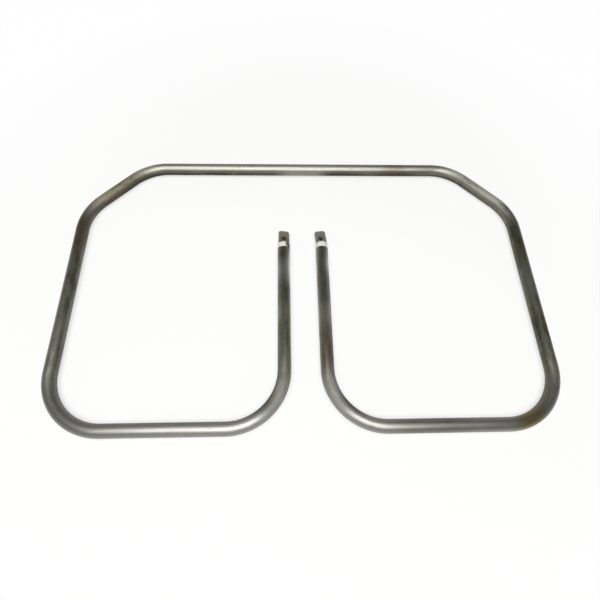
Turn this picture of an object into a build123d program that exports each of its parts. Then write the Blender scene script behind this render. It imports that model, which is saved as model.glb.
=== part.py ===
from build123d import *

import os

# Tubular heating element: a mineral-insulated sheath bent to a flat rectangular loop.
#
# Millimetres, +Z up. The element lies flat on Z = 0. The origin is under the middle of the loop,
# +X runs to the right along the long rails and +Y runs to the back. Both terminal legs stand on the
# front rail and point to +Y, and "left" and "right" are as seen from the front (-Y) side.
#
# After filling, the tube is rolled down until the powder is as hard as stone. Round the loop, where
# nothing opens and nothing shows, tube, powder and coil are one sealed, solid rod. The two straight
# legs are true tubes, with all that each one holds, from the first bend to the terminal.

# ---- driving dimensions: the bent sheath -------------------------------------------------------
SHEATH_DIAMETER = 7.0        # outside diameter of the tube after it is rolled down
SHEATH_WALL = 0.6            # wall of the tube
LOOP_WIDTH = 256.0           # between the axes of the left and right side rails
LOOP_DEPTH = 159.0           # between the axes of the front and back rails
CORNER_CUT = 33.0            # how far the two back corners are cut off, along X and along Y
LEG_SPACING = 22.0           # between the axes of the two terminal legs
LEG_LENGTH = 100.5           # from the front rail axis to the open end of the sheath
BEND_RADIUS = 29.0           # radius of every bend, to the tube axis
SHEATH_EDGE = 0.12           # broken edges of the two cut ends

# ---- driving dimensions: what the sheath holds -------------------------------------------------
COLD_LENGTH = 40.0           # unheated stretch, from the sheath end to the first turn of the coil
COIL_DIAMETER = 2.8          # outside diameter of the resistance coil
COIL_WIRE = 0.4              # diameter of the resistance wire
PIN_DIAMETER = 2.8           # cold pin, from the terminal to the coil
SPIGOT_LENGTH = 8.0          # turned-down end of the pin, which the first turns are wound on
SEAL_LENGTH = 6.0            # moisture seal behind the ceramic bush

# ---- driving dimensions: the terminals ---------------------------------------------------------
BUSH_COLLAR_DIAMETER = 7.0   # part of the ceramic bush that shows
BUSH_COLLAR_LENGTH = 3.2
BUSH_EDGE = 0.35             # chamfer round the outer edge of the collar
BUSH_SPIGOT_LENGTH = 5.0     # part of the bush that sits inside the sheath
BUSH_FIT = 0.05              # radial clearance of the bush, in the sheath and round the pin
SEAT_LENGTH = 2.2            # half-round seat at the end of the pin, under the blade
BLADE_WIDTH = 6.3            # flat tab terminal
BLADE_THICKNESS = 0.8
BLADE_LENGTH = 8.2
BLADE_GAP = 0.35             # from the face of the ceramic bush to the blade
BLADE_CORNER = 1.3           # clipped corners at the tip
BLADE_BASE_CORNER = 0.4      # clipped corners next to the bush
BLADE_EDGE = 0.12            # broken edges of the punched blade
BLADE_HOLE_DIAMETER = 1.65   # latching hole
BLADE_HOLE_TO_TIP = 5.2      # from the hole's centre to the tip
BLADE_TURN = {"left": 12.0, "right": 0.0}   # degrees that each blade sits turned about its leg
BLADE_LEAN = {"left": 0.0, "right": 6.0}    # degrees that each blade leans to the left on its seat

# ---- places that follow from them --------------------------------------------------------------
SHEATH_RADIUS = SHEATH_DIAMETER / 2
BORE_RADIUS = SHEATH_RADIUS - SHEATH_WALL
AXIS_Z = SHEATH_RADIUS
SIDE_X = LOOP_WIDTH / 2
LEG_X = LEG_SPACING / 2
FRONT_Y = -LOOP_DEPTH / 2
BACK_Y = LOOP_DEPTH / 2
LOOP_Y = FRONT_Y + BEND_RADIUS               # the straight legs end and the first bends start
LEG_END_Y = FRONT_Y + LEG_LENGTH
SEAL_Y = LEG_END_Y - BUSH_SPIGOT_LENGTH      # the bush ends and the seal starts
FILL_Y = SEAL_Y - SEAL_LENGTH                # the seal ends and the powder starts
COIL_Y = LEG_END_Y - COLD_LENGTH             # the first turn of the coil
SPIGOT_Y = COIL_Y - SPIGOT_LENGTH            # the inner end of the cold pin
BUSH_FACE_Y = LEG_END_Y + BUSH_COLLAR_LENGTH
COIL_RADIUS = COIL_DIAMETER / 2
COIL_BORE_RADIUS = COIL_RADIUS - COIL_WIRE
PIN_RADIUS = PIN_DIAMETER / 2
SIDES = {"left": -1, "right": 1}

os.makedirs("parts", exist_ok=True)


def tube_axis():
    """The axis of the tube, from the left leg round the loop to the right leg, bends and all."""
    right_half = [
        (SIDE_X - CORNER_CUT, BACK_Y),
        (SIDE_X, BACK_Y - CORNER_CUT),
        (SIDE_X, FRONT_Y),
        (LEG_X, FRONT_Y),
        (LEG_X, LEG_END_Y),
    ]
    left_half = [(-x, y) for x, y in reversed(right_half)]
    with BuildLine(Plane.XY.offset(AXIS_Z)) as axis:
        FilletPolyline(*left_half, *right_half, radius=BEND_RADIUS)
    return axis.wire()


def leg_plane(side, y, turn=0.0):
    """Plane across a leg at y, facing out of the leg: its x runs to the left and its y runs up."""
    to_the_left = Vector(-1, 0, 0).rotate(Axis.Y, turn)
    return Plane(origin=(SIDES[side] * LEG_X, y, AXIS_Z), x_dir=to_the_left, z_dir=(0, 1, 0))


def save(piece, name):
    """Label a finished piece and write it to its own file."""
    piece.part.label = name
    export_step(piece.part, f"parts/{name}.step")


# ---- sheath: one length of tube, bent eight times and open at both ends ------------------------
with BuildPart() as sheath:
    path = tube_axis()
    with BuildSketch(Plane(origin=path @ 0, z_dir=path % 0)):
        Circle(SHEATH_RADIUS)
    sweep(path=path)
    chamfer(sheath.faces().filter_by(Axis.Y).edges(), SHEATH_EDGE)
    for side in SIDES:
        with BuildSketch(leg_plane(side, LOOP_Y)):
            Circle(BORE_RADIUS)
        extrude(amount=LEG_END_Y - LOOP_Y, mode=Mode.SUBTRACT)
save(sheath, "sheath")

# ---- resistance coil: a close-wound spiral, held as the sleeve that its turns fill in each leg -
with BuildPart() as resistance_coil:
    for side in SIDES:
        with BuildSketch(leg_plane(side, LOOP_Y)):
            Circle(COIL_RADIUS)
            Circle(COIL_BORE_RADIUS, mode=Mode.SUBTRACT)
        extrude(amount=COIL_Y - LOOP_Y)
save(resistance_coil, "resistance_coil")

# ---- magnesia fill: compacted powder round the coil and pins, and a core inside the coil -------
with BuildPart() as magnesia_fill:
    for side in SIDES:
        with BuildSketch(leg_plane(side, LOOP_Y)):
            Circle(BORE_RADIUS)
            Circle(COIL_RADIUS, mode=Mode.SUBTRACT)
        extrude(amount=COIL_Y - LOOP_Y)
        with BuildSketch(leg_plane(side, COIL_Y)):
            Circle(BORE_RADIUS)
            Circle(PIN_RADIUS, mode=Mode.SUBTRACT)
        extrude(amount=FILL_Y - COIL_Y)
        with BuildSketch(leg_plane(side, LOOP_Y)):
            Circle(COIL_BORE_RADIUS)
        extrude(amount=SPIGOT_Y - LOOP_Y)
save(magnesia_fill, "magnesia_fill")

# ---- both terminals: everything that is pushed or welded into an open end of the sheath --------
for side in SIDES:
    blade_turn = BLADE_TURN[side]
    seat_plane = leg_plane(side, BUSH_FACE_Y, blade_turn)

    # cold pin: a rod with a turned-down inner end and a half-round seat for the blade
    with BuildPart() as cold_pin:
        with BuildSketch(leg_plane(side, SPIGOT_Y)):
            Circle(COIL_BORE_RADIUS)
        extrude(amount=SPIGOT_LENGTH)
        with BuildSketch(leg_plane(side, COIL_Y)):
            Circle(PIN_RADIUS)
        extrude(amount=BUSH_FACE_Y + SEAT_LENGTH - COIL_Y)
        with BuildSketch(seat_plane):
            Rectangle(2 * PIN_DIAMETER, PIN_DIAMETER, align=(Align.CENTER, Align.MIN))
        extrude(amount=SEAT_LENGTH, mode=Mode.SUBTRACT)
    save(cold_pin, f"cold_pin_{side}")

    # end seal: a ring of cured resin between the powder and the bush
    with BuildPart() as end_seal:
        with BuildSketch(leg_plane(side, FILL_Y)):
            Circle(BORE_RADIUS)
            Circle(PIN_RADIUS, mode=Mode.SUBTRACT)
        extrude(amount=SEAL_LENGTH)
    save(end_seal, f"end_seal_{side}")

    # ceramic bush: a collar on the sheath end, with a spigot inside the sheath
    with BuildPart() as ceramic_bush:
        bush_axis = Axis((SIDES[side] * LEG_X, SEAL_Y, AXIS_Z), (0, 1, 0))
        with BuildSketch(Plane(origin=bush_axis.position, x_dir=(1, 0, 0), z_dir=(0, 0, 1))):
            bore = PIN_RADIUS + BUSH_FIT
            spigot = BORE_RADIUS - BUSH_FIT
            collar = BUSH_COLLAR_DIAMETER / 2
            face = BUSH_SPIGOT_LENGTH + BUSH_COLLAR_LENGTH
            with BuildLine():
                Polyline(
                    (bore, 0),
                    (spigot, 0),
                    (spigot, BUSH_SPIGOT_LENGTH),
                    (collar, BUSH_SPIGOT_LENGTH),
                    (collar, face - BUSH_EDGE),
                    (collar - BUSH_EDGE, face),
                    (bore, face),
                    close=True,
                )
            make_face()
        revolve(axis=bush_axis)
    save(ceramic_bush, f"ceramic_bush_{side}")

    # terminal blade: a punched tab with clipped corners, welded on the seat of the pin
    with BuildPart() as terminal_blade:
        flat_on_seat = Plane(origin=seat_plane.origin, x_dir=-seat_plane.x_dir, z_dir=seat_plane.y_dir)
        with BuildSketch(flat_on_seat.rotated((0, 0, BLADE_LEAN[side]))):
            with Locations((0, BLADE_GAP)):
                Rectangle(BLADE_WIDTH, BLADE_LENGTH, align=(Align.CENTER, Align.MIN))
            corners = vertices().group_by(Axis.Y)
            chamfer(corners[-1], BLADE_CORNER)
            chamfer(corners[0], BLADE_BASE_CORNER)
        extrude(amount=BLADE_THICKNESS)
        rims = terminal_blade.faces().filter_by(flat_on_seat).edges()
        chamfer(rims, BLADE_EDGE)
        with Locations(flat_on_seat.rotated((0, 0, BLADE_LEAN[side]))):
            with Locations((0, BLADE_GAP + BLADE_LENGTH - BLADE_HOLE_TO_TIP)):
                Hole(BLADE_HOLE_DIAMETER / 2, depth=BLADE_THICKNESS)
    save(terminal_blade, f"terminal_blade_{side}")
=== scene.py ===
import math

import bpy
from mathutils import Matrix, Vector


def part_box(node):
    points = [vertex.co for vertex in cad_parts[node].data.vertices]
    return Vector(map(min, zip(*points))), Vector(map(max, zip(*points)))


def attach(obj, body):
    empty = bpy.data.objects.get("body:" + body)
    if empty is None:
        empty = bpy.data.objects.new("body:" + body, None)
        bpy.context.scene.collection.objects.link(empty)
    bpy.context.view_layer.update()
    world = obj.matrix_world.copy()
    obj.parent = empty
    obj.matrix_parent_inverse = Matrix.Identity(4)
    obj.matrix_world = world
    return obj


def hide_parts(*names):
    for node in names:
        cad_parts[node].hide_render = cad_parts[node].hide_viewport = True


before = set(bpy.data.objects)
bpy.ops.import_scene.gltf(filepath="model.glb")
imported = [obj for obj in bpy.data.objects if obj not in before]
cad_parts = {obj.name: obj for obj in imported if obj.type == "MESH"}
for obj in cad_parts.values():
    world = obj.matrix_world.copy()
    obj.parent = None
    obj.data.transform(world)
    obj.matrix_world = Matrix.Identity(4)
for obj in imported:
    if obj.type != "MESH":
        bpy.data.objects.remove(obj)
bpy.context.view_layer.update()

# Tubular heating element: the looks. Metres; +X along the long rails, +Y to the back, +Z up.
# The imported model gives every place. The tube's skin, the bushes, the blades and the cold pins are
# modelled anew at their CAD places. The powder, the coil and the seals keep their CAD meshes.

MM = 0.001
UP = Vector((0, 0, 1))
SIDES = ("left", "right")
SAME_PLACE = 1e-6                # points nearer to each other than this are one

# ---- the tube: what its packed box doesn't give -------------------------------------------------
TUBE_WALL = 0.6 * MM
BEND_RADIUS = 29.0 * MM          # every bend, to the tube's axis
CORNER_CUT = 33.0 * MM           # how far the back corners are cut off, along X and along Y
TUBE_EDGE = 0.12 * MM            # broken edge of each cut end
EDGE_STEPS = ((0.3, 0.09), (0.8, 0.5), (1.0, 1.0))   # its rounding: rise and inset, as shares of it
AROUND = 56                      # facets round the tube
BEND_STEP = math.radians(3.75)   # turn of one step of a bend

# ---- the ceramic bushes -------------------------------------------------------------------------
COLLAR_LENGTH = 3.2 * MM         # part of the bush that shows
BUSH_FIT = 0.05 * MM             # clearance of the bush in the tube and round the pin
BUSH_ROUNDING = 0.35 * MM        # outer rim of the collar
ROUNDING_TURNS = [math.radians(turn) for turn in (0, 30, 60, 90)]
BUSH_BORE_EDGE = 0.1 * MM        # broken edge of the bore
BUSH_FACETS = 48

# ---- the cold pins ------------------------------------------------------------------------------
SPIGOT_RADIUS = 1.0 * MM         # thin inner end, which the first turns of the coil are wound on
SPIGOT_LENGTH = 8.0 * MM
SEAT_LENGTH = 4.6 * MM           # half-round seat: it reaches under the blade's hole, where its dark top is painted shade
PIN_CHAMFER = 0.15 * MM
PIN_FACETS = 40

# ---- the terminal blades ------------------------------------------------------------------------
BLADE_WIDTH = 6.3 * MM
BLADE_THICKNESS = 0.8 * MM
BLADE_LENGTH = 8.2 * MM
BLADE_GAP = 0.35 * MM            # from the face of the bush to the blade
BLADE_TIP_CORNER = 1.3 * MM
BLADE_BASE_CORNER = 0.4 * MM     # the corners next to the bush
CORNER_PROFILE = 0.42            # form of both: 0.25 would be a straight clip, and 0.5 a round corner
BLADE_EDGE = 0.12 * MM           # rounded rim of the punched blade
BLADE_HOLE_RADIUS = 0.825 * MM
BLADE_HOLE_TO_TIP = 5.2 * MM
BLADE_TURN = {"left": math.radians(12.0), "right": 0.0}   # about the leg, right edge down
BLADE_LEAN = {"left": 0.0, "right": math.radians(6.0)}    # to the left, flat on its seat
WELD_RADIUS = 0.75 * MM          # dents of the two weld electrodes
WELD_DEPTH = 0.14 * MM
WELD_X = 1.15 * WELD_RADIUS      # from the blade's middle line
WELD_Y = 1.0 * MM                # from the lower end of the blade

# ---- places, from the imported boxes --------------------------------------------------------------
tube_low, tube_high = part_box("sheath")
TUBE_RADIUS = (tube_high.z - tube_low.z) / 2
BORE_RADIUS = TUBE_RADIUS - TUBE_WALL
AXIS_Z = tube_low.z + TUBE_RADIUS
SIDE_X = tube_high.x - TUBE_RADIUS
FRONT_Y = tube_low.y + TUBE_RADIUS
BACK_Y = tube_high.y - TUBE_RADIUS
LOOP_Y = FRONT_Y + BEND_RADIUS   # where the straight legs end and the first bends start
BUSH_BOX = {side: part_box(f"ceramic_bush_{side}") for side in SIDES}
LEG_X = {side: (low.x + high.x) / 2 for side, (low, high) in BUSH_BOX.items()}
FACE_Y = BUSH_BOX["left"][1].y
LEG_END_Y = FACE_Y - COLLAR_LENGTH
PIN_BOX = {side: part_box(f"cold_pin_{side}") for side in SIDES}
PIN_RADIUS = (PIN_BOX["left"][1].x - PIN_BOX["left"][0].x) / 2
BLADE_HOLE = Vector((0, BLADE_GAP + BLADE_LENGTH - BLADE_HOLE_TO_TIP, BLADE_THICKNESS / 2))

# ---- patterns of the finishes, with their size in X, Y and Z; on the tube, Z runs along it ------
STREAK_SIZE = Vector((0.35, 0.35, 45.0)) * MM    # drawing scratches, coarser than real so that they show
BAND_SIZE = Vector((1.75, 1.75, 112.5)) * MM     # broad bands of such scratches
TINT_SIZE = Vector((19.0, 19.0, 38.0)) * MM      # patches of heat tint
BLOTCH_SIZE = Vector((4.0, 4.0, 13.333)) * MM    # brown blotches
SCUFF_SIZE = Vector((2.6, 2.6, 7.429)) * MM      # rubbed spots and dark specks
ROLLING_SIZE = Vector((0.25, 4.0, 1.0)) * MM     # rolling lines of the blades
CLOUD_SIZE = Vector((2.4, 2.4, 2.4)) * MM        # clouds in their plating
TURNING_SIZE = Vector((0.3, 3.0, 0.3)) * MM      # marks along the pins
GRIT_SIZE = Vector((0.18, 0.18, 0.18)) * MM      # grit of the ceramic
SOIL_SIZE = Vector((1.6, 1.6, 1.6)) * MM         # soiled spots on it

# ---- stains, and patches of painted shade, with a place of their own ----------------------------
# In mm: middle, reach, how they lie on the film, and colour.
STAINS_AND_PAINTED_SHADE = (
    ((111.0, -79.5, 5.0), 13.0, "MULTIPLY", "#f8e4b6"),     # golden brown, front right corner
    ((59.0, 79.5, 6.0), 10.0, "MULTIPLY", "#eddcd8"),       # reddish, back rail
    ((16.5, -42.0, 6.0), 13.0, "MULTIPLY", "#e4ccc4"),      # reddish, right leg
    ((-128.0, 30.0, 6.0), 18.0, "MULTIPLY", "#efe1cf"),     # brown, left rail
    ((-110.0, 63.0, 6.0), 26.0, "MULTIPLY", "#f3e9da"),     # brown, left cut rail
    ((128.0, 22.0, 6.0), 18.0, "MULTIPLY", "#d6dac6"),      # greenish, right rail
    ((133.0, -30.0, 8.0), 30.0, "MULTIPLY", "#d6d5ce"),     # painted shade, front part of the right rail
    ((60.0, -79.5, 5.0), 27.0, "MULTIPLY", "#e1e0da"),      # dull, right front rail
    ((-25.5, -64.5, 5.0), 13.0, "MULTIPLY", "#7e7866"),     # painted shade, inside the bend below the left leg
    ((25.5, -64.5, 5.0), 13.0, "MULTIPLY", "#7a7870"),      # painted shade, inside the bend below the right leg
    ((-3.5, 6.5, 6.0), 14.0, "MIX", "#e0e0dd"),             # rubbed bright, left leg by its terminal
    ((18.5, 10.0, 6.0), 11.0, "MIX", "#c8c8c6"),            # rubbed bright, right leg by its terminal
    ((-12.5, -20.0, 12.0), 11.0, "MIX", "#b2b3a8"),         # rubbed on top, left leg
    ((9.0, -20.0, 12.0), 12.0, "MIX", "#c2c3bb"),           # rubbed on top, right leg
)
# Where the film is thick and matt, in mm: middle and reach.
MATT_PLACES = (
    ((-111.5, 63.0, 5.0), 30.0),     # left cut rail
    ((111.5, 63.0, 5.0), 30.0),      # right cut rail
    ((-15.0, -66.0, 5.0), 17.0),     # bend below the left leg
    ((15.0, -64.0, 5.0), 14.0),      # bend below the right leg
)
MATT_ROUGHNESS = 0.2                 # what that adds to the roughness
# The painted shade on the back rail's flank is mostly left out round this place.
SHADE_GAP_PLACE = Vector((1.0, 76.0, 4.0)) * MM
SHADE_GAP_REACH = 19.0 * MM
# The blotches lie between the front and back rails, and fade in over these distances from each axis.
FROM_FRONT = (5.0 * MM, 30.0 * MM)
FROM_BACK = (4.0 * MM, 14.0 * MM)
# The left bush is scorched down its right side, round this place.
SCORCH_PLACE = Vector((LEG_X["left"] + 4.6 * MM, LEG_END_Y + 2.6 * MM, AXIS_Z + 1.6 * MM))
SCORCH_REACH = 4.6 * MM
# The weld's heat has darkened each blade most up to the first distance from the bush's face, and not
# at all past the second. It has scorched the blade round its hole. The pin is painted dark from about
# the face on: painted shade, which shows through the blade's hole.
HEATED = (0.4 * MM, 3.4 * MM)
BURN_CORE = 0.9 * MM
BURN_REACH = 2.6 * MM
PIN_SHADE_FADE = 1.0 * MM                  # half the length over which the pin's painted shade starts

# ---- camera, floor, lamp and room ---------------------------------------------------------------
CAMERA_TARGET = Vector((-2.14, -10.0, 0.0)) * MM
CAMERA_DISTANCE = 239.0 * MM
CAMERA_ELEVATION = math.radians(65.35)
CAMERA_AZIMUTH = math.radians(-5.11)
CAMERA_ROLL = math.radians(4.31)
CAMERA_LENS = 25.7               # focal length, in mm
CAMERA_SENSOR = 36.0             # width, in mm
CAMERA_CLIP = 10.0 * MM
FLOOR_SIZE = 12.0
FLOOR_GLOW = (0.58, 0.97)        # share of plain white in what is seen of the floor: inside, outside
GLOW_REACH = (0.09, 0.27)        # how far from the floor's middle the inside ends and the outside starts
SOFTBOX_PLACE = Vector((-0.06, -0.25, 0.95))
SOFTBOX_SIZE = (0.84, 0.72)      # along X, and across it
SOFTBOX_RADIANCE = 5.5           # brightness of its face, where a plain white is 1
SKY_TOP = 0.12                   # brightness of the room overhead
SKY_RIM = 0.33                   # and of its pale walls, up to WALL_TOP
WALL_TOP = math.sin(math.radians(24))


def blade_seat(side):
    """Takes a blade from the origin to its seat, turned and leaning as it is welded."""
    place = Matrix.Translation((LEG_X[side], FACE_Y, AXIS_Z))
    return place @ Matrix.Rotation(BLADE_TURN[side], 4, "Y") @ Matrix.Rotation(BLADE_LEAN[side], 4, "Z")


# ---- material helpers ---------------------------------------------------------------------------
def linear(hex_colour):
    """An sRGB colour such as "#5b574b" as linear RGBA."""
    channels = [int(hex_colour[i:i + 2], 16) / 255 for i in (1, 3, 5)]
    return [c / 12.92 if c <= 0.04045 else ((c + 0.055) / 1.055) ** 2.4 for c in channels] + [1.0]


def repeats(size):
    """How often a pattern of this size comes in a metre, in each direction."""
    return [1 / length for length in size]


def node(tree, kind, inputs, **settings):
    """Add one node. inputs gives its sockets, by name or number, a value or another node's output.

    A Mix of two colours has its share at 0, the colours at 6 and 7, and its result at output 2.
    """
    added = tree.nodes.new("ShaderNode" + kind)
    for name, value in settings.items():
        setattr(added, name, value)
    for name, value in inputs.items():
        if isinstance(value, bpy.types.NodeSocket):
            tree.links.new(value, added.inputs[name])
        else:
            added.inputs[name].default_value = value
    return added


def soft_patch(tree, spot, middle, reach, core, inside=1.0, outside=0.0, fade="SMOOTHSTEP"):
    """A round patch: its inside value within core of the middle fades to the outside one at reach."""
    away = node(tree, "VectorMath", {0: spot, 1: middle}, operation="DISTANCE").outputs["Value"]
    return node(tree, "MapRange", {"Value": away, "From Min": reach, "From Max": core,
                                   "To Min": outside, "To Max": inside},
                interpolation_type=fade).outputs[0]


def new_material(name):
    material = bpy.data.materials.new(name)
    material.use_nodes = True
    return material, material.node_tree, material.node_tree.nodes["Principled BSDF"]


def connect(tree, shader, **sockets):
    """Link outputs to the shader's sockets: Base_Color=... is its "Base Color"."""
    for name, output in sockets.items():
        tree.links.new(output, shader.inputs[name.replace("_", " ")])


def paint(piece, material):
    piece.data.materials.clear()
    piece.data.materials.append(material)


# ---- the tube's finish --------------------------------------------------------------------------
def oxide_film(tree, tint, bands, streaks):
    """Olive to brown film in soft patches, with paler bands and darker scratches along the tube."""
    browner = node(tree, "MapRange", {"Value": tint, "From Min": 0.38, "From Max": 0.62})
    film = node(tree, "Mix", {0: browner.outputs[0], 6: linear("#9c9c98"), 7: linear("#9f9b94")},
                data_type="RGBA")
    paler = node(tree, "MapRange", {"Value": bands, "From Min": 0.3, "From Max": 0.7, "To Max": 0.55})
    banded = node(tree, "Mix", {0: paler.outputs[0], 6: film.outputs[2], 7: linear("#b9b8b5")},
                  data_type="RGBA")
    lines = node(tree, "MapRange", {"Value": streaks, "From Min": 0.35, "From Max": 0.7, "To Max": 0.6})
    scratched = node(tree, "Mix", {0: lines.outputs[0], 6: banded.outputs[2], 7: linear("#82827d")},
                     data_type="RGBA")
    return scratched.outputs[2]


def blotched(tree, colour, place, along_y):
    """Slightly greener away from the front rails, and blotched between the front and back rails."""
    from_front = node(tree, "MapRange", {"Value": along_y, "From Min": FRONT_Y + FROM_FRONT[0],
                                         "From Max": FRONT_Y + FROM_FRONT[1]})
    greener = node(tree, "Mix", {0: from_front.outputs[0], 6: colour, 7: linear("#fbfcf4")},
                   data_type="RGBA", blend_type="MULTIPLY")
    from_back = node(tree, "MapRange", {"Value": along_y, "From Min": BACK_Y - FROM_BACK[0],
                                        "From Max": BACK_Y - FROM_BACK[1]})
    scaled = node(tree, "Mapping", {"Vector": place, "Scale": repeats(BLOTCH_SIZE)})
    blotches = node(tree, "TexNoise", {"Vector": scaled.outputs[0], "Scale": 1.0, "Detail": 5.0,
                                       "Roughness": 0.6})
    share = node(tree, "MapRange", {"Value": blotches.outputs["Fac"], "From Min": 0.5, "From Max": 0.66})
    share = node(tree, "Math", {0: share.outputs[0], 1: from_front.outputs[0]}, operation="MULTIPLY")
    share = node(tree, "Math", {0: share.outputs[0], 1: from_back.outputs[0]}, operation="MULTIPLY")
    brown = node(tree, "Mix", {0: share.outputs[0], 6: greener.outputs[2], 7: linear("#c9c5bc")},
                 data_type="RGBA", blend_type="MULTIPLY")
    return brown.outputs[2]


def painted_inner_shade(tree, colour, place, spot, along_y, tint):
    """Painted shade: darker on the flank facing the loop's inside, darker still low on the back rail."""
    across = node(tree, "SeparateXYZ", {"Vector": place}).outputs
    # painted shade on the flank that faces the loop's inside
    inner = node(tree, "MapRange", {"Value": across["X"], "From Min": 0.5 * TUBE_RADIUS,
                                    "From Max": 0.95 * TUBE_RADIUS}, interpolation_type="SMOOTHSTEP")
    uneven = node(tree, "MapRange", {"Value": tint, "From Min": 0.3, "From Max": 0.6, "To Min": 0.65})
    dark = node(tree, "Math", {0: inner.outputs[0], 1: uneven.outputs[0]}, operation="MULTIPLY")
    # the painted shade is mostly left out round one place on the back rail's flank
    outside_shade_gap = soft_patch(tree, spot, SHADE_GAP_PLACE, SHADE_GAP_REACH, 0.4 * SHADE_GAP_REACH,
                          inside=0.15, outside=1.0)
    dark = node(tree, "Math", {0: dark.outputs[0], 1: outside_shade_gap}, operation="MULTIPLY")
    darker = node(tree, "Mix", {0: dark.outputs[0], 6: colour, 7: linear("#b4b3ac")},
                  data_type="RGBA", blend_type="MULTIPLY")
    # more painted shade low down on the back rail
    low = node(tree, "MapRange", {"Value": across["Y"], "From Min": 0.45 * TUBE_RADIUS,
                                  "From Max": -0.1 * TUBE_RADIUS}, interpolation_type="SMOOTHSTEP")
    on_back = node(tree, "MapRange", {"Value": along_y, "From Min": 0.7 * BACK_Y,
                                      "From Max": 0.95 * BACK_Y})
    low_shade = node(tree, "Math", {0: low.outputs[0], 1: on_back.outputs[0]}, operation="MULTIPLY")
    low_shade = node(tree, "Math", {0: low_shade.outputs[0], 1: dark.outputs[0]}, operation="MULTIPLY")
    low_shaded = node(tree, "Mix", {0: low_shade.outputs[0], 6: darker.outputs[2], 7: linear("#8a8983")},
                 data_type="RGBA", blend_type="MULTIPLY")
    return low_shaded.outputs[2]


def stained_and_shaded(tree, colour, spot, bands):
    """Stains and patches of painted shade in places of their own, broken up by the bands along the tube.
    """
    cloudy = node(tree, "MapRange", {"Value": bands, "From Min": 0.25, "From Max": 0.5, "To Min": 0.5})
    for middle, reach, blend, patch_colour in STAINS_AND_PAINTED_SHADE:
        faded = soft_patch(tree, spot, Vector(middle) * MM, reach * MM, 0.3 * reach * MM)
        broken_up = node(tree, "Math", {0: faded, 1: cloudy.outputs[0]}, operation="MULTIPLY")
        colour = node(tree, "Mix", {0: broken_up.outputs[0], 6: colour, 7: linear(patch_colour)},
                      data_type="RGBA", blend_type=blend).outputs[2]
    return colour


def handled(tree, colour, place):
    """Small bright spots that handling has rubbed through the film, and dark specks between them."""
    scaled = node(tree, "Mapping", {"Vector": place, "Scale": repeats(SCUFF_SIZE)})
    scuffs = node(tree, "TexNoise", {"Vector": scaled.outputs[0], "Scale": 1.0, "Detail": 5.0,
                                     "Roughness": 0.7}).outputs["Fac"]
    bare = node(tree, "MapRange", {"Value": scuffs, "From Min": 0.62, "From Max": 0.74, "To Max": 0.55})
    rubbed = node(tree, "Mix", {0: bare.outputs[0], 6: colour, 7: linear("#c9c8c0")}, data_type="RGBA")
    specks = node(tree, "MapRange", {"Value": scuffs, "From Min": 0.42, "From Max": 0.3, "To Max": 0.4})
    speckled = node(tree, "Mix", {0: specks.outputs[0], 6: rubbed.outputs[2], 7: linear("#a09c90")},
                    data_type="RGBA", blend_type="MULTIPLY")
    return speckled.outputs[2]


def heat_tinted_steel():
    """Stainless tube, drawn through a die and then run hot.

    Fine scratches run along it and spread its highlights across the tube. Its oxide film is olive
    and brown in soft patches. Painted shade darkens the flank that faces the loop's inside, and the
    back rail low down. Handling has rubbed small bright spots through it.
    """
    material, tree, shader = new_material("heat_tinted_drawn_steel")
    place = node(tree, "Attribute", {}, attribute_name="straight").outputs["Vector"]
    spot = node(tree, "TexCoord", {}).outputs["Object"]
    along_y = node(tree, "SeparateXYZ", {"Vector": spot}).outputs["Y"]
    scaled = node(tree, "Mapping", {"Vector": place, "Scale": repeats(STREAK_SIZE)})
    streaks = node(tree, "TexNoise", {"Vector": scaled.outputs[0], "Scale": 1.0, "Detail": 4.0,
                                      "Roughness": 0.62}).outputs["Fac"]
    scaled = node(tree, "Mapping", {"Vector": place, "Scale": repeats(BAND_SIZE)})
    bands = node(tree, "TexNoise", {"Vector": scaled.outputs[0], "Scale": 1.0,
                                    "Detail": 3.0}).outputs["Fac"]
    scaled = node(tree, "Mapping", {"Vector": place, "Scale": repeats(TINT_SIZE)})
    tint = node(tree, "TexNoise", {"Vector": scaled.outputs[0], "Scale": 1.0, "Detail": 3.0,
                                   "Distortion": 0.6}).outputs["Fac"]

    colour = oxide_film(tree, tint, bands, streaks)
    colour = blotched(tree, colour, place, along_y)
    colour = painted_inner_shade(tree, colour, place, spot, along_y, tint)
    colour = stained_and_shaded(tree, colour, spot, bands)
    colour = handled(tree, colour, place)

    gloss = node(tree, "MapRange", {"Value": streaks, "From Min": 0.3, "From Max": 0.7,
                                    "To Min": 0.36, "To Max": 0.46}).outputs[0]
    for middle, reach in MATT_PLACES:
        matt = soft_patch(tree, spot, Vector(middle) * MM, reach * MM, 0.4 * reach * MM,
                          inside=MATT_ROUGHNESS)
        gloss = node(tree, "Math", {0: gloss, 1: matt}, operation="ADD").outputs[0]
    relief = node(tree, "Math", {0: streaks, 1: bands}, operation="ADD")
    scratched = node(tree, "Bump", {"Height": relief.outputs[0], "Distance": 0.02 * MM, "Strength": 0.5})
    around = node(tree, "Attribute", {}, attribute_name="around").outputs["Vector"]
    connect(tree, shader, Base_Color=colour, Roughness=gloss, Normal=scratched.outputs[0],
            Tangent=around)
    shader.inputs["Metallic"].default_value = 1.0
    shader.inputs["Anisotropic"].default_value = 0.7
    return material


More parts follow.
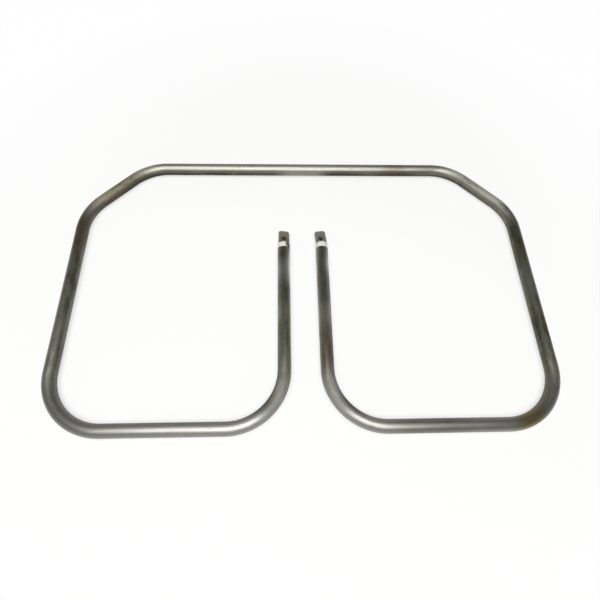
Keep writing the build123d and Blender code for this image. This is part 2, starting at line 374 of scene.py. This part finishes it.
# ---- the other finishes -------------------------------------------------------------------------
def plated_tab_steel():
    """Nickel-plated strip, rolled and punched: a satin metal with a fine grain.

    Welding has yellowed and darkened it towards its foot and scorched it brown round its hole.
    The left blade is painted lighter and more olive than the right: painted light.
    """
    material, tree, shader = new_material("oxidised_nickel_plate")
    place = node(tree, "TexCoord", {}).outputs["Object"]
    spot = node(tree, "SeparateXYZ", {"Vector": place}).outputs
    scaled = node(tree, "Mapping", {"Vector": place, "Scale": repeats(ROLLING_SIZE)})
    rolled = node(tree, "TexNoise", {"Vector": scaled.outputs[0], "Scale": 1.0,
                                     "Detail": 4.0}).outputs["Fac"]
    scaled = node(tree, "Mapping", {"Vector": place, "Scale": repeats(CLOUD_SIZE)})
    cloud = node(tree, "TexNoise", {"Vector": scaled.outputs[0], "Scale": 1.0,
                                    "Detail": 3.0}).outputs["Fac"]
    # painted light: the left blade is lighter and more olive than the right
    to_right = node(tree, "MapRange", {"Value": spot["X"], "From Min": LEG_X["left"],
                                       "From Max": LEG_X["right"]})
    plate = node(tree, "Mix", {0: to_right.outputs[0], 6: linear("#b5b29e"), 7: linear("#a7a8a4")},
                 data_type="RGBA")
    from_face = node(tree, "MapRange", {"Value": spot["Y"], "From Min": FACE_Y + HEATED[1],
                                        "From Max": FACE_Y + HEATED[0], "To Max": 0.85})
    heated = node(tree, "Mix", {0: from_face.outputs[0], 6: plate.outputs[2], 7: linear("#847c66")},
                  data_type="RGBA")
    mottle = node(tree, "MapRange", {"Value": cloud, "From Min": 0.35, "From Max": 0.65, "To Max": 0.4})
    colour = node(tree, "Mix", {0: mottle.outputs[0], 6: heated.outputs[2], 7: linear("#918d7e")},
                  data_type="RGBA").outputs[2]
    for side in SIDES:
        darkening = soft_patch(tree, place, blade_seat(side) @ BLADE_HOLE, BURN_REACH, BURN_CORE,
                           inside=0.85, fade="LINEAR")
        colour = node(tree, "Mix", {0: darkening, 6: colour, 7: linear("#5d553f")},
                      data_type="RGBA").outputs[2]
    gloss = node(tree, "MapRange", {"Value": rolled, "To Min": 0.4, "To Max": 0.55})
    rough = node(tree, "Bump", {"Height": rolled, "Distance": 0.01 * MM, "Strength": 0.4})
    connect(tree, shader, Base_Color=colour, Roughness=gloss.outputs[0], Normal=rough.outputs[0])
    shader.inputs["Metallic"].default_value = 1.0
    return material


def pin_steel_with_painted_shade():
    """Drawn steel rod, bright inside the tube. Its seat is dark, rough and dull: painted shade."""
    material, tree, shader = new_material("drawn_pin_steel")
    place = node(tree, "TexCoord", {}).outputs["Object"]
    scaled = node(tree, "Mapping", {"Vector": place, "Scale": repeats(TURNING_SIZE)})
    marks = node(tree, "TexNoise", {"Vector": scaled.outputs[0], "Scale": 1.0,
                                    "Detail": 3.0}).outputs["Fac"]
    bright = node(tree, "Mix", {0: marks, 6: linear("#b0aca4"), 7: linear("#8c877d")}, data_type="RGBA")
    along = node(tree, "SeparateXYZ", {"Vector": place}).outputs["Y"]
    darkening = node(tree, "MapRange", {"Value": along, "From Min": FACE_Y - PIN_SHADE_FADE,
                                    "From Max": FACE_Y + PIN_SHADE_FADE}).outputs[0]
    # painted shade: the seat is near black from about the bush's face on
    colour = node(tree, "Mix", {0: darkening, 6: bright.outputs[2], 7: linear("#2b2721")}, data_type="RGBA")
    gloss = node(tree, "MapRange", {"Value": darkening, "To Min": 0.42, "To Max": 0.75})
    metal = node(tree, "MapRange", {"Value": darkening, "To Min": 1.0, "To Max": 0.2})
    rough = node(tree, "Bump", {"Height": marks, "Distance": 0.03 * MM, "Strength": 0.4})
    connect(tree, shader, Base_Color=colour.outputs[2], Roughness=gloss.outputs[0],
            Metallic=metal.outputs[0], Normal=rough.outputs[0])
    return material


def steatite():
    """Pressed and fired steatite, unglazed: off-white and matt, with a fine grit, slightly soiled.

    A brown scorch runs down the right side of the left bush.
    """
    material, tree, shader = new_material("unglazed_steatite")
    place = node(tree, "TexCoord", {}).outputs["Object"]
    scaled = node(tree, "Mapping", {"Vector": place, "Scale": repeats(GRIT_SIZE)})
    grit = node(tree, "TexNoise", {"Vector": scaled.outputs[0], "Scale": 1.0,
                                   "Detail": 3.0}).outputs["Fac"]
    scaled = node(tree, "Mapping", {"Vector": place, "Scale": repeats(SOIL_SIZE)})
    soil = node(tree, "TexNoise", {"Vector": scaled.outputs[0], "Scale": 1.0,
                                   "Detail": 4.0}).outputs["Fac"]
    share = node(tree, "MapRange", {"Value": soil, "From Min": 0.45, "From Max": 0.75, "To Max": 0.6})
    soiled = node(tree, "Mix", {0: share.outputs[0], 6: linear("#e9e6e0"), 7: linear("#c9c3b8")},
                  data_type="RGBA")
    scorch = soft_patch(tree, place, SCORCH_PLACE, SCORCH_REACH, 0.75 * SCORCH_REACH, fade="LINEAR")
    colour = node(tree, "Mix", {0: scorch, 6: soiled.outputs[2], 7: linear("#5f5850")},
                  data_type="RGBA")
    rough = node(tree, "Bump", {"Height": grit, "Distance": 0.02 * MM, "Strength": 0.35})
    connect(tree, shader, Base_Color=colour.outputs[2], Normal=rough.outputs[0])
    shader.inputs["Roughness"].default_value = 0.62
    return material


def hidden_finish(name, light, dark, grain, metallic, roughness):
    """A plain granular finish for what the tube holds: two tones in grains of a real size."""
    material, tree, shader = new_material(name)
    place = node(tree, "TexCoord", {}).outputs["Object"]
    scaled = node(tree, "Mapping", {"Vector": place, "Scale": repeats([grain] * 3)})
    grains = node(tree, "TexNoise", {"Vector": scaled.outputs[0], "Scale": 1.0,
                                     "Detail": 3.0}).outputs["Fac"]
    colour = node(tree, "Mix", {0: grains, 6: linear(light), 7: linear(dark)}, data_type="RGBA")
    rough = node(tree, "Bump", {"Height": grains, "Distance": 0.1 * grain, "Strength": 0.3})
    connect(tree, shader, Base_Color=colour.outputs[2], Normal=rough.outputs[0])
    shader.inputs["Metallic"].default_value = metallic
    shader.inputs["Roughness"].default_value = roughness
    return material


# ---- modelling helpers --------------------------------------------------------------------------
def deselect_all():
    """Leave edit mode and deselect every object."""
    if bpy.context.object and bpy.context.object.mode != "OBJECT":
        bpy.ops.object.mode_set(mode="OBJECT")
    bpy.ops.object.select_all(action="DESELECT")


def pick(piece):
    """Select one piece and nothing else."""
    deselect_all()
    bpy.context.view_layer.objects.active = piece
    piece.select_set(True)


def start_piece(name):
    """Name the primitive that was just added and open it for editing, all of it selected."""
    piece = bpy.context.object
    piece.name = piece.data.name = name
    bpy.ops.object.transform_apply(location=True, rotation=True, scale=True)
    bpy.ops.object.mode_set(mode="EDIT")
    bpy.ops.mesh.select_all(action="SELECT")
    return piece


def add_ring(name, radius, centre, facets):
    """An open circle across the Y axis, opened for editing."""
    deselect_all()
    bpy.ops.mesh.primitive_circle_add(
        vertices=facets, radius=radius, location=centre, rotation=(math.radians(90), 0, 0)
    )
    return start_piece(name)


def turn_profile(centre, radius, profile):
    """As on a lathe: extrude the selected ring through the profile's places along Y and its radii."""
    for y, next_radius in profile:
        shift = Vector((0, y - centre.y, 0))
        bpy.ops.mesh.extrude_region_move(TRANSFORM_OT_translate={"value": shift})
        centre = centre + shift
        grow = next_radius / radius
        bpy.ops.transform.resize(value=(grow, grow, grow), center_override=centre)
        radius = next_radius


def select_verts(piece, wanted):
    """In edit mode, select the vertices whose places pass the test, and nothing else."""
    bpy.ops.object.mode_set(mode="OBJECT")
    for part in (piece.data.polygons, piece.data.edges):
        part.foreach_set("select", [False] * len(part))
    piece.data.vertices.foreach_set("select", [wanted(v.co) for v in piece.data.vertices])
    bpy.ops.object.mode_set(mode="EDIT")
    bpy.ops.mesh.select_mode(type="VERT")


def select_edges(piece, wanted):
    """In edit mode, select the edges whose two ends pass the test, and nothing else."""
    bpy.ops.mesh.select_mode(type="EDGE")
    bpy.ops.mesh.select_all(action="DESELECT")
    bpy.ops.object.mode_set(mode="OBJECT")
    for edge in piece.data.edges:
        edge.select = wanted(*(piece.data.vertices[i].co for i in edge.vertices))
    bpy.ops.object.mode_set(mode="EDIT")


def close_piece(smooth_angle=35.0):
    """Merge doubles, turn the faces outwards, leave edit mode and smooth all but the sharp edges."""
    bpy.ops.mesh.select_all(action="SELECT")
    bpy.ops.mesh.remove_doubles(threshold=SAME_PLACE)
    bpy.ops.mesh.normals_make_consistent(inside=False)
    bpy.ops.object.mode_set(mode="OBJECT")
    bpy.ops.object.shade_smooth_by_angle(angle=math.radians(smooth_angle))


def apply_modifier(piece, kind, **settings):
    modifier = piece.modifiers.new(kind.lower(), kind)
    for name, value in settings.items():
        setattr(modifier, name, value)
    bpy.ops.object.modifier_apply(modifier=modifier.name)


def cut_away(piece, tool):
    """Take the tool's shape out of the piece and delete the tool."""
    pick(piece)
    apply_modifier(piece, "BOOLEAN", operation="DIFFERENCE", object=tool, solver="EXACT")
    bpy.data.objects.remove(tool)


# ---- the sheath ---------------------------------------------------------------------------------
def loop_corners():
    """Corners of the tube's axis, from the left leg round the loop to the right leg."""
    right = [
        (SIDE_X - CORNER_CUT, BACK_Y),
        (SIDE_X, BACK_Y - CORNER_CUT),
        (SIDE_X, FRONT_Y),
        (LEG_X["right"], FRONT_Y),
        (LEG_X["right"], LEG_END_Y - TUBE_EDGE),
    ]
    left = [(-x, y) for x, y in reversed(right)]
    return [Vector((x, y, AXIS_Z)) for x, y in left + right]


def sweep_skin(corners):
    """Extrude the selected ring along each straight run and spin it round each bend."""
    at = corners[0]
    for before, corner, after in zip(corners, corners[1:], corners[2:]):
        arriving = (corner - before).normalized()
        leaving = (after - corner).normalized()
        turn = arriving.angle(leaving)
        sense = 1 if arriving.cross(leaving).z > 0 else -1
        setback = BEND_RADIUS * math.tan(turn / 2)
        bend_start = corner - arriving * setback
        bpy.ops.mesh.extrude_region_move(TRANSFORM_OT_translate={"value": bend_start - at})
        bpy.ops.mesh.spin(
            steps=round(turn / BEND_STEP),
            angle=-sense * turn,
            center=bend_start + sense * BEND_RADIUS * UP.cross(arriving),
            axis=UP,
        )
        at = corner + leaving * setback
    bpy.ops.mesh.extrude_region_move(TRANSFORM_OT_translate={"value": corners[-1] - at})


def keep_straight_places(piece):
    """Store two attributes that follow the tube round its bends, for its drawing marks and heat tint.

    "straight" is each point's place before bending: x towards the loop's inside, y up, z along the
    tube. "around" is the direction round the tube there, across the scratches.
    """
    bpy.ops.object.mode_set(mode="OBJECT")
    points = [v.co.copy() for v in piece.data.vertices]
    rings = [points[i:i + AROUND] for i in range(0, len(points), AROUND)]
    centres = [sum(ring, Vector()) / AROUND for ring in rings]
    places = []
    turns = []
    along = 0.0
    for i, (ring, centre) in enumerate(zip(rings, centres)):
        if i:
            along += (centre - centres[i - 1]).length
        heading = centres[min(i + 1, len(rings) - 1)] - centres[max(i - 1, 0)]
        inwards = heading.cross(UP).normalized()
        for point in ring:
            # the sweep has to leave its points ring by ring
            assert abs((point - centre).length - TUBE_RADIUS) < 0.02 * TUBE_RADIUS
            places += [(point - centre).dot(inwards), (point - centre).dot(UP), along]
            turns.extend(heading.cross(point - centre).normalized())
    straight = piece.data.attributes.new("straight", "FLOAT_VECTOR", "POINT")
    straight.data.foreach_set("vector", places)
    around = piece.data.attributes.new("around", "FLOAT_VECTOR", "POINT")
    around.data.foreach_set("vector", turns)
    bpy.ops.object.mode_set(mode="EDIT")


def finish_cut_end(piece, side):
    """Rounded edge, wall and bore of one cut end, down to where the loop starts."""
    end = Vector((LEG_X[side], LEG_END_Y - TUBE_EDGE, AXIS_Z))
    select_verts(piece, lambda p: abs(p.y - end.y) < SAME_PLACE and abs(p.x - end.x) < 2 * TUBE_RADIUS)
    rounding = [(end.y + rise * TUBE_EDGE, TUBE_RADIUS - inset * TUBE_EDGE) for rise, inset in EDGE_STEPS]
    turn_profile(end, TUBE_RADIUS, [*rounding, (LEG_END_Y, BORE_RADIUS), (LOOP_Y, BORE_RADIUS)])
    bpy.ops.mesh.edge_face_add()


def make_sheath():
    """One length of tube, bent eight times and open at both ends."""
    corners = loop_corners()
    skin = add_ring("sheath_skin", TUBE_RADIUS, corners[0], AROUND)
    sweep_skin(corners)
    keep_straight_places(skin)
    for side in SIDES:
        finish_cut_end(skin, side)
    close_piece()
    paint(skin, heat_tinted_steel())
    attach(skin, "root")
    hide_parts("sheath")


# ---- what each open end of the sheath holds -----------------------------------------------------
def make_pin(side, rod):
    """Turned from rod, with a thin inner end and a half-round seat milled into its outer end."""
    inner_end = Vector((LEG_X[side], PIN_BOX[side][0].y, AXIS_Z))
    outer_y = FACE_Y + SEAT_LENGTH
    pin = add_ring(f"pin_{side}", SPIGOT_RADIUS, inner_end, PIN_FACETS)
    turn_profile(inner_end, SPIGOT_RADIUS, [
        (inner_end.y + SPIGOT_LENGTH, SPIGOT_RADIUS),
        (inner_end.y + SPIGOT_LENGTH, PIN_RADIUS),
        (outer_y - PIN_CHAMFER, PIN_RADIUS),
        (outer_y, PIN_RADIUS - PIN_CHAMFER),
    ])
    bpy.ops.mesh.edge_face_add()
    select_verts(pin, lambda p: abs(p.y - inner_end.y) < SAME_PLACE)
    bpy.ops.mesh.edge_face_add()
    close_piece()

    # mill the seat, turned as the blade on it is
    rise = Matrix.Rotation(BLADE_TURN[side], 4, "Y") @ Vector((0, 0, 2 * PIN_RADIUS))
    deselect_all()
    bpy.ops.mesh.primitive_cube_add(
        size=1, location=Vector((LEG_X[side], outer_y, AXIS_Z)) + rise,
        rotation=(0, BLADE_TURN[side], 0), scale=(4 * PIN_RADIUS, 2 * SEAT_LENGTH, 4 * PIN_RADIUS)
    )
    cut_away(pin, bpy.context.object)
    bpy.ops.object.mode_set(mode="EDIT")
    close_piece()
    paint(pin, rod)
    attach(pin, "root")
    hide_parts(f"cold_pin_{side}")


def make_bush(side, ceramic):
    """Turned all round: inner end, spigot, step, collar, rounded rim, outer face and bore."""
    low, high = BUSH_BOX[side]
    bore = PIN_RADIUS + BUSH_FIT
    spigot = BORE_RADIUS - BUSH_FIT
    collar = (high.x - low.x) / 2
    rim = [
        (FACE_Y - BUSH_ROUNDING * (1 - math.sin(turn)), collar - BUSH_ROUNDING * (1 - math.cos(turn)))
        for turn in ROUNDING_TURNS
    ]
    inner_end = Vector((LEG_X[side], low.y, AXIS_Z))
    bush = add_ring(f"bush_{side}", bore, inner_end, BUSH_FACETS)
    turn_profile(inner_end, bore, [
        (low.y, spigot),
        (LEG_END_Y, spigot),
        (LEG_END_Y, collar),
        *rim,
        (FACE_Y, bore + BUSH_BORE_EDGE),
        (FACE_Y - BUSH_BORE_EDGE, bore),
        (low.y, bore),
    ])
    close_piece()
    paint(bush, ceramic)
    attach(bush, "root")
    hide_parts(f"ceramic_bush_{side}")


def make_blade(side, plate):
    """Punched from strip: corners cut off, hole pierced, rims rounded, and two weld dents at its foot."""
    deselect_all()
    middle = Vector((0, BLADE_GAP + BLADE_LENGTH / 2, BLADE_THICKNESS / 2))
    bpy.ops.mesh.primitive_cube_add(
        size=1, location=middle, scale=(BLADE_WIDTH, BLADE_LENGTH, BLADE_THICKNESS)
    )
    blade = start_piece(f"blade_{side}")
    for end, reach, segments in ((1, BLADE_TIP_CORNER, 3), (-1, BLADE_BASE_CORNER, 2)):
        select_edges(blade, lambda a, b: abs(a.z - b.z) > BLADE_THICKNESS / 2
                     and end * (a.y - middle.y) > 0)
        bpy.ops.mesh.bevel(offset=reach, offset_type="OFFSET", segments=segments,
                           profile=CORNER_PROFILE)

    # pierce the hole, and round all rims
    deselect_all()
    bpy.ops.mesh.primitive_cylinder_add(
        vertices=36, radius=BLADE_HOLE_RADIUS, depth=3 * BLADE_THICKNESS, location=BLADE_HOLE
    )
    cut_away(blade, bpy.context.object)
    apply_modifier(blade, "BEVEL", width=BLADE_EDGE, segments=2, limit_method="ANGLE",
                   angle_limit=math.radians(50))

    # press the two weld dents
    sphere = (WELD_RADIUS ** 2 + WELD_DEPTH ** 2) / (2 * WELD_DEPTH)
    for x in (-WELD_X, WELD_X):
        deselect_all()
        bpy.ops.mesh.primitive_uv_sphere_add(
            segments=48, ring_count=48, radius=sphere,
            location=(x, BLADE_GAP + WELD_Y, BLADE_THICKNESS - WELD_DEPTH + sphere)
        )
        cut_away(blade, bpy.context.object)

    blade.data.transform(blade_seat(side))
    bpy.ops.object.mode_set(mode="EDIT")
    close_piece(smooth_angle=20.0)
    paint(blade, plate)
    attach(blade, "root")
    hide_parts(f"terminal_blade_{side}")


# ---- the pieces that keep their CAD shape -------------------------------------------------------
def finish_hidden_pieces():
    """White compacted powder, dull grey resistance wire and brick-red cured resin."""
    powder = hidden_finish("compacted_magnesia", "#f0eee8", "#dcd8cd", grain=0.3 * MM,
                           metallic=0.0, roughness=0.8)
    wire = hidden_finish("nickel_chrome_wire", "#8f8a80", "#6b665c", grain=0.4 * MM,
                         metallic=1.0, roughness=0.5)
    resin = hidden_finish("cured_silicone_resin", "#a9553a", "#8c4630", grain=0.5 * MM,
                          metallic=0.0, roughness=0.45)
    for name, finish in (("magnesia_fill", powder), ("resistance_coil", wire),
                         ("end_seal_left", resin), ("end_seal_right", resin)):
        paint(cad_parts[name], finish)


# ---- camera, floor, lamp and room ---------------------------------------------------------------
def add_camera():
    """Looks down on the element from its front, rolled a little."""
    back = Vector((
        math.sin(CAMERA_AZIMUTH) * math.cos(CAMERA_ELEVATION),
        -math.cos(CAMERA_AZIMUTH) * math.cos(CAMERA_ELEVATION),
        math.sin(CAMERA_ELEVATION),
    ))
    right = UP.cross(back).normalized()
    turned = Matrix.Rotation(CAMERA_ROLL, 4, "Z")
    upright = Matrix((right, back.cross(right), back)).transposed().to_4x4()
    data = bpy.data.cameras.new("camera")
    data.lens = CAMERA_LENS
    data.sensor_width = CAMERA_SENSOR
    data.clip_start = CAMERA_CLIP
    camera = bpy.data.objects.new("camera", data)
    bpy.context.scene.collection.objects.link(camera)
    camera.matrix_world = Matrix.Translation(CAMERA_TARGET + CAMERA_DISTANCE * back) @ upright @ turned
    bpy.context.scene.camera = camera


def add_floor():
    """A matt white floor that keeps the shadow. What is seen of it goes over to plain white outwards."""
    deselect_all()
    bpy.ops.mesh.primitive_plane_add(size=FLOOR_SIZE)
    floor = bpy.context.object
    floor.name = "floor"
    material, tree, shader = new_material("white_floor")
    shader.inputs["Base Color"].default_value = linear("#f7f7f7")
    shader.inputs["Roughness"].default_value = 0.9
    shader.inputs["Specular IOR Level"].default_value = 0.0
    ray = node(tree, "LightPath", {}).outputs
    seen = node(tree, "Math", {0: ray["Is Camera Ray"], 1: ray["Is Glossy Ray"]}, operation="MAXIMUM")
    seen = node(tree, "Math", {0: seen.outputs[0], 1: ray["Is Transmission Ray"]}, operation="MAXIMUM")
    spot = node(tree, "TexCoord", {}).outputs["Object"]
    away = node(tree, "VectorMath", {0: spot}, operation="LENGTH")
    glow = node(tree, "MapRange", {"Value": away.outputs["Value"], "From Min": GLOW_REACH[0],
                                   "From Max": GLOW_REACH[1], "To Min": FLOOR_GLOW[0],
                                   "To Max": FLOOR_GLOW[1]}, interpolation_type="SMOOTHSTEP")
    share = node(tree, "Math", {0: seen.outputs[0], 1: glow.outputs[0]}, operation="MULTIPLY")
    white = node(tree, "Emission", {"Strength": 1.0})
    mixed = node(tree, "MixShader", {0: share.outputs[0], 1: shader.outputs[0], 2: white.outputs[0]})
    tree.links.new(mixed.outputs[0], tree.nodes["Material Output"].inputs["Surface"])
    paint(floor, material)


def add_softbox():
    """One wide soft lamp overhead, a little to the front, aimed at the element."""
    data = bpy.data.lights.new("softbox", "AREA")
    data.shape = "RECTANGLE"
    data.size, data.size_y = SOFTBOX_SIZE
    data.energy = SOFTBOX_RADIANCE * math.pi * SOFTBOX_SIZE[0] * SOFTBOX_SIZE[1]
    softbox = bpy.data.objects.new("softbox", data)
    bpy.context.scene.collection.objects.link(softbox)
    aim = SOFTBOX_PLACE.to_track_quat("Z", "Y").to_matrix().to_4x4()
    softbox.matrix_world = Matrix.Translation(SOFTBOX_PLACE) @ aim


def light_the_room():
    """A dim room with paler walls, which the tube's flanks mirror."""
    world = bpy.data.worlds.new("studio")
    bpy.context.scene.world = world
    world.use_nodes = True
    tree = world.node_tree
    height = node(tree, "SeparateXYZ", {"Vector": node(tree, "TexCoord", {}).outputs["Generated"]})
    fade = node(tree, "MapRange", {"Value": height.outputs["Z"], "From Min": 0.6 * WALL_TOP,
                                   "From Max": 1.4 * WALL_TOP, "To Min": SKY_RIM, "To Max": SKY_TOP},
                interpolation_type="SMOOTHSTEP")
    tree.links.new(fade.outputs[0], tree.nodes["Background"].inputs["Strength"])
    tree.nodes["Background"].inputs["Color"].default_value = linear("#fffbf2")


# ---- the whole element and its scene ------------------------------------------------------------
make_sheath()
ceramic = steatite()
plate = plated_tab_steel()
rod = pin_steel_with_painted_shade()
for side in SIDES:
    make_pin(side, rod)
    make_bush(side, ceramic)
    make_blade(side, plate)
finish_hidden_pieces()
add_camera()
add_floor()
add_softbox()
light_the_room()
bpy.context.scene.view_settings.view_transform = "Standard"
